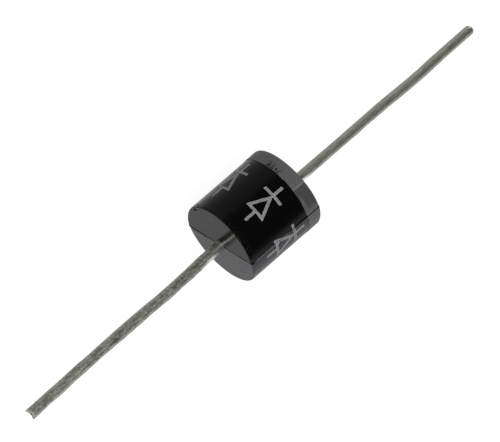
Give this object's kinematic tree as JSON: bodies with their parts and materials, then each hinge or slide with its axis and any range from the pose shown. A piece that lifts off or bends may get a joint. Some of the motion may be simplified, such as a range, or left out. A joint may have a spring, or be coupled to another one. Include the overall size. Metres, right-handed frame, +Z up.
{
  "type": "axial rectifier diode",
  "caption": "Moulded axial-lead rectifier diode: black epoxy cylinder with a grey cathode band and tinned copper leads, for fixing by its wires.",
  "frame": {"origin": "middle of the moulded body, which is also the middle of the whole part along the leads", "axes": "+X along the leads towards the cathode band, +Z up out of the parting plane"},
  "size_m": [0.06, 0.0091, 0.009],
  "materials": {
    "epoxy": "black moulded epoxy, semi-gloss",
    "tinned_copper": "hot-dipped dull tin, streaked",
    "silicon": "sawn silicon",
    "solder": "dull solder",
    "silicone": "matte white silicone rubber",
    "grey_ink": "dull grey printing ink"
  },
  "bodies": {
    "root": {"case": "epoxy", "anode_lead": "tinned_copper", "cathode_lead": "tinned_copper", "silicon_die": "silicon", "anode_solder": "solder", "cathode_solder": "solder", "junction_coating": "silicone", "cathode_band": "grey_ink", "polarity_marks": "grey_ink"}
  },
  "joints": []
}
